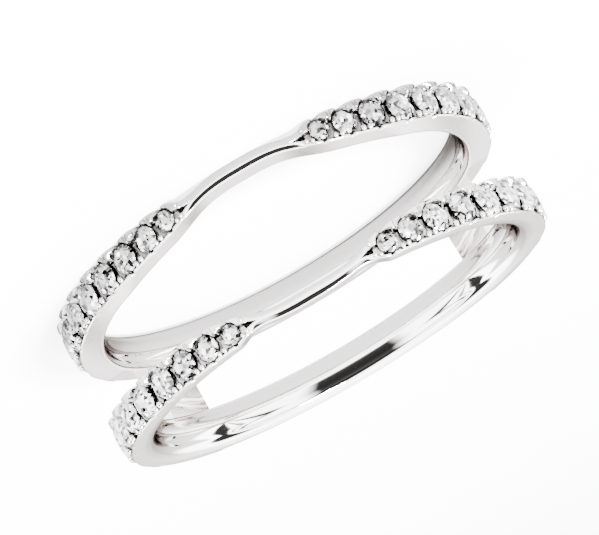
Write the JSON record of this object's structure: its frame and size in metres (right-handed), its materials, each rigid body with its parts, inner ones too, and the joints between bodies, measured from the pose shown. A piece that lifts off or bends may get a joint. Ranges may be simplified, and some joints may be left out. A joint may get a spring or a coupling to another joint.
{
  "type": "ring guard enhancer",
  "caption": "Ring guard: two parallel gem-set bands joined by short bars, worn around another ring, with narrow wires that frame its centre stone.",
  "frame": {"origin": "centre of the finger hole, on the surface that the ring lies on", "axes": "+Z along the finger axis, up; -Y towards the head of the ring, where both bands narrow; +X to the right seen from the head"},
  "size_m": [0.0206, 0.02, 0.0063],
  "materials": {
    "white_gold": "polished",
    "diamond": "faceted"
  },
  "bodies": {
    "root": {"ring_metal": "white_gold", "upper_right_stone_01": "diamond", "upper_right_stone_02": "diamond", "upper_right_stone_03": "diamond", "upper_right_stone_04": "diamond", "upper_right_stone_05": "diamond", "upper_right_stone_06": "diamond", "upper_right_stone_07": "diamond", "upper_right_stone_08": "diamond", "upper_right_stone_09": "diamond", "upper_right_stone_10": "diamond", "upper_left_stone_01": "diamond", "upper_left_stone_02": "diamond", "upper_left_stone_03": "diamond", "upper_left_stone_04": "diamond", "upper_left_stone_05": "diamond", "upper_left_stone_06": "diamond", "upper_left_stone_07": "diamond", "upper_left_stone_08": "diamond", "upper_left_stone_09": "diamond", "upper_left_stone_10": "diamond", "lower_right_stone_01": "diamond", "lower_right_stone_02": "diamond", "lower_right_stone_03": "diamond", "lower_right_stone_04": "diamond", "lower_right_stone_05": "diamond", "lower_right_stone_06": "diamond", "lower_right_stone_07": "diamond", "lower_right_stone_08": "diamond", "lower_right_stone_09": "diamond", "lower_right_stone_10": "diamond", "lower_left_stone_01": "diamond", "lower_left_stone_02": "diamond", "lower_left_stone_03": "diamond", "lower_left_stone_04": "diamond", "lower_left_stone_05": "diamond", "lower_left_stone_06": "diamond", "lower_left_stone_07": "diamond", "lower_left_stone_08": "diamond", "lower_left_stone_09": "diamond", "lower_left_stone_10": "diamond"}
  },
  "joints": []
}
